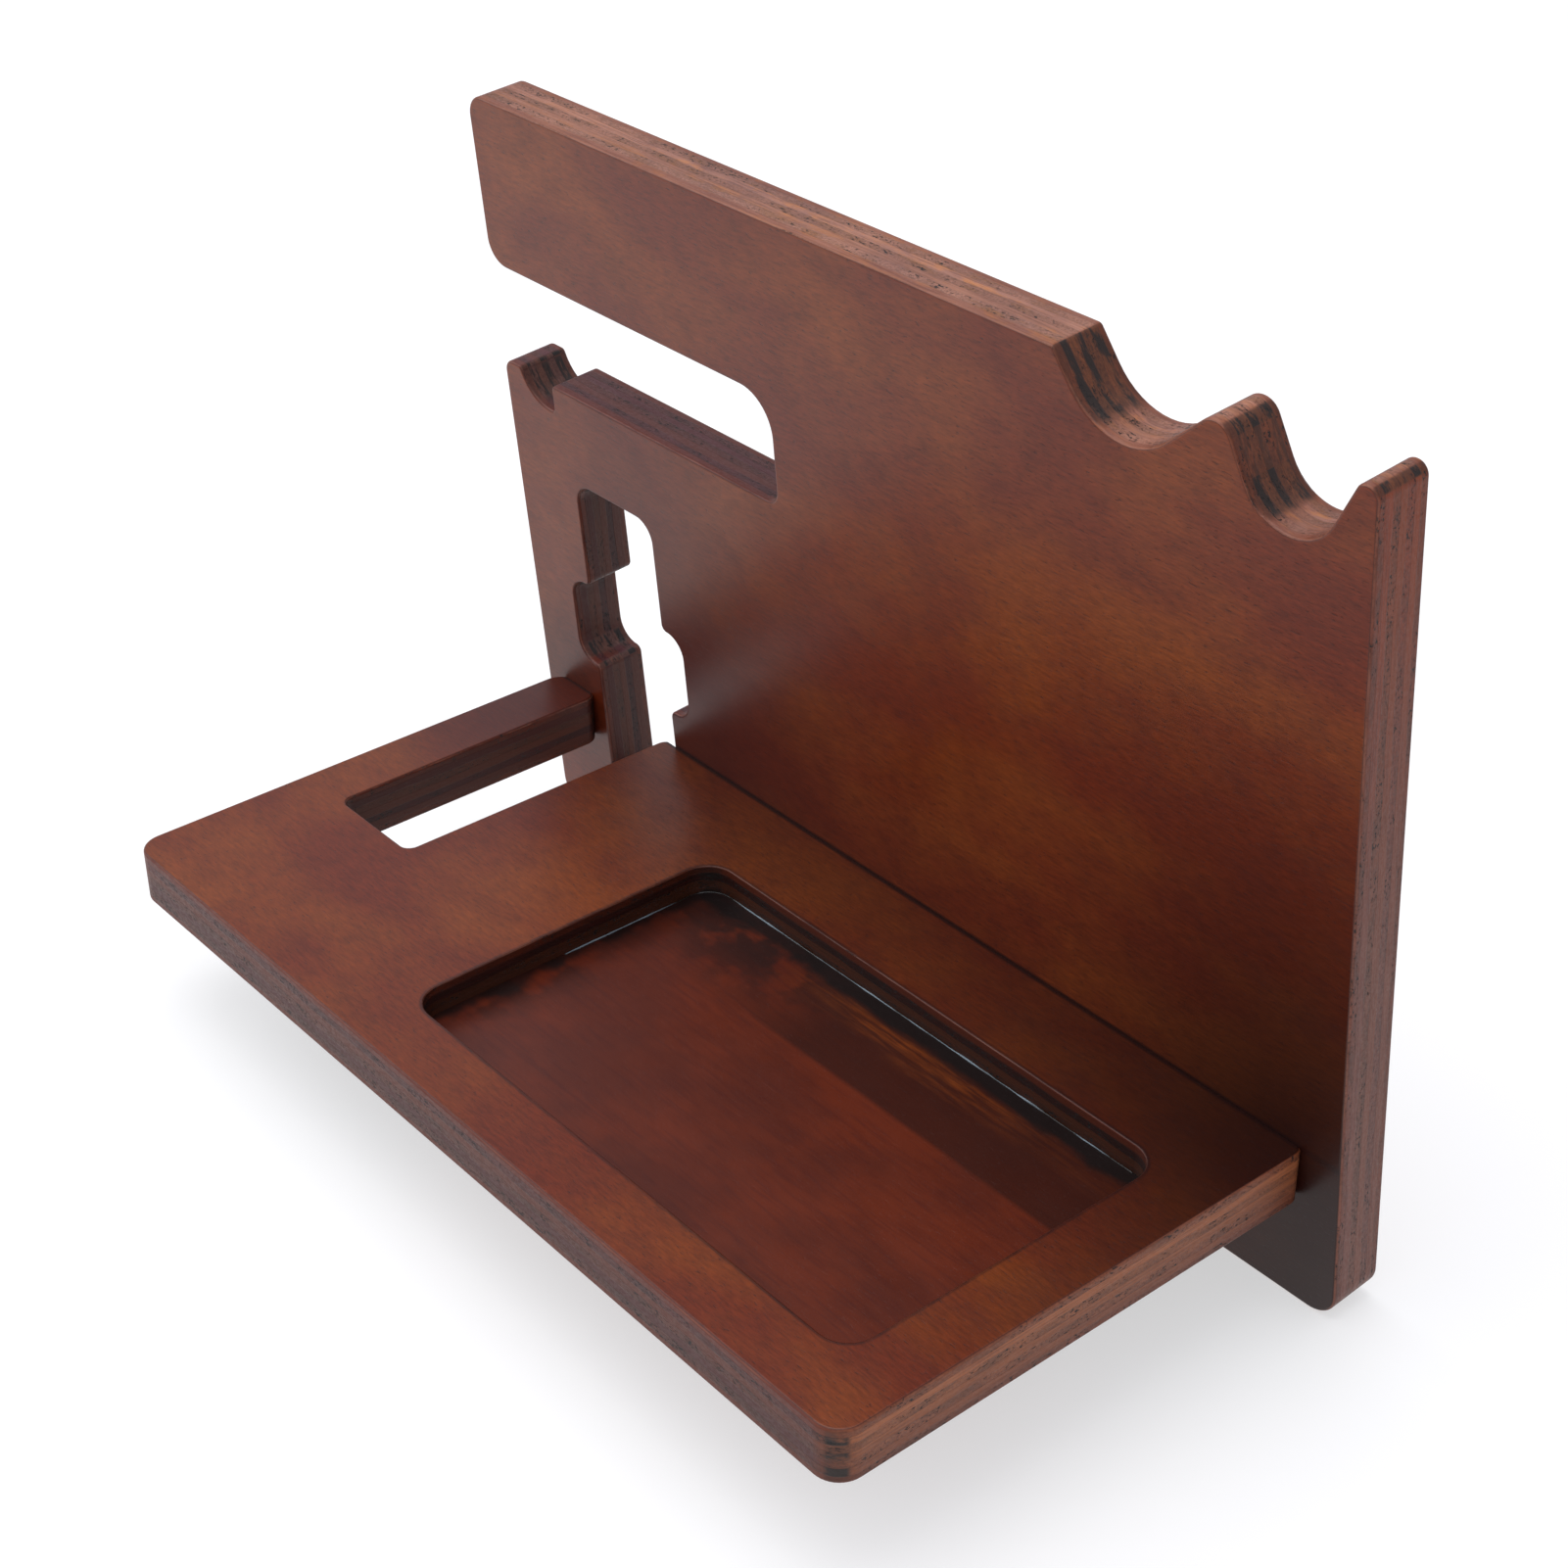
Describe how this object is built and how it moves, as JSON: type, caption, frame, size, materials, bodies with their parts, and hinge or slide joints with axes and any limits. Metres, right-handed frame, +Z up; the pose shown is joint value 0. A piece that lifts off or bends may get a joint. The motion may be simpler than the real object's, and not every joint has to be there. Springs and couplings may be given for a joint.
{
  "type": "razor stand",
  "caption": "Plywood grooming and bedside stand: a back board with an arm, ledge, cable cut-out and scalloped hooks, and a level tray with a shallow pocket and a slot.",
  "frame": {"origin": "on the table, midway along the back board's width, under the line where the tray's top meets the back board's front face", "axes": "+X along the back board's width to the right as seen from the front, +Y to the rear, +Z up"},
  "size_m": [0.3, 0.1577, 0.2222],
  "materials": {
    "face_veneer": "satin",
    "cross_veneer": "satin",
    "core_veneer": "satin",
    "beech_dowel": "matt",
    "steel": "zinc plated"
  },
  "bodies": {
    "root": {"back_ply_1": "face_veneer", "back_ply_2": "cross_veneer", "back_ply_3": "core_veneer", "back_ply_4": "cross_veneer", "back_ply_5": "core_veneer", "back_ply_6": "cross_veneer", "back_ply_7": "face_veneer", "tray_ply_1": "face_veneer", "tray_ply_2": "cross_veneer", "tray_ply_3": "core_veneer", "tray_ply_4": "cross_veneer", "tray_ply_5": "core_veneer", "tray_ply_6": "cross_veneer", "tray_ply_7": "face_veneer", "rib_ply_1": "face_veneer", "rib_ply_2": "cross_veneer", "rib_ply_3": "core_veneer", "rib_ply_4": "cross_veneer", "rib_ply_5": "core_veneer", "rib_ply_6": "cross_veneer", "rib_ply_7": "face_veneer", "screws": "steel", "dowels": "beech_dowel"}
  },
  "joints": []
}
